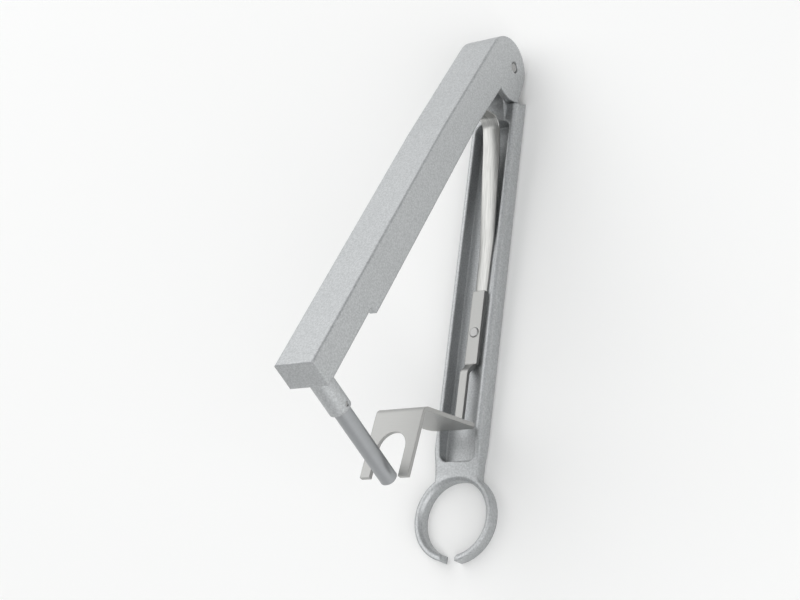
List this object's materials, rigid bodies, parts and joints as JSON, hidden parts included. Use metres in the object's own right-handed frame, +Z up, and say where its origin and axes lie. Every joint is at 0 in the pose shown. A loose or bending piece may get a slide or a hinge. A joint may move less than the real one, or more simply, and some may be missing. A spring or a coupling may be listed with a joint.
{
  "type": "cherry pitter",
  "caption": "Hand cherry pitter: a cast lever arm with a plunger rod, hinged and sprung over a lower arm with a slotted ring cup and a forked stripper plate.",
  "frame": {"origin": "centre of the bounding box, on the flat back of the lower arm that the tool lies on", "axes": "+X from the hinge to the ring cup along the lower arm, +Z up towards the lever, +Y towards the side that the picture shows"},
  "size_m": [0.1606, 0.0258, 0.0809],
  "materials": {
    "cast_aluminium": "matt, finely grained cast aluminium",
    "turned_rod": "satin turned rod",
    "pin_steel": "ground pin",
    "spring_steel": "bright rolled spring strip",
    "fork_steel": "bright rolled stainless sheet"
  },
  "bodies": {
    "base": {"base_arm": "cast_aluminium", "leaf_spring": "spring_steel", "stripper_fork": "fork_steel", "tang_rivet": "pin_steel"},
    "lever": {"lever_arm": "cast_aluminium", "plunger_rod": "turned_rod", "plunger_dowel": "pin_steel", "hinge_pin": "pin_steel"}
  },
  "joints": [
    {"name": "lever_pivot", "type": "hinge", "parent": "base", "child": "lever", "pos_m": [-0.07199, 0, 0.0069], "axis": [0, 1, 0], "range_deg": [0, 15.5], "stiffness_Nm_per_rad": 1.6, "springref_deg": -14.32, "deforming": ["leaf_spring"]}
  ]
}
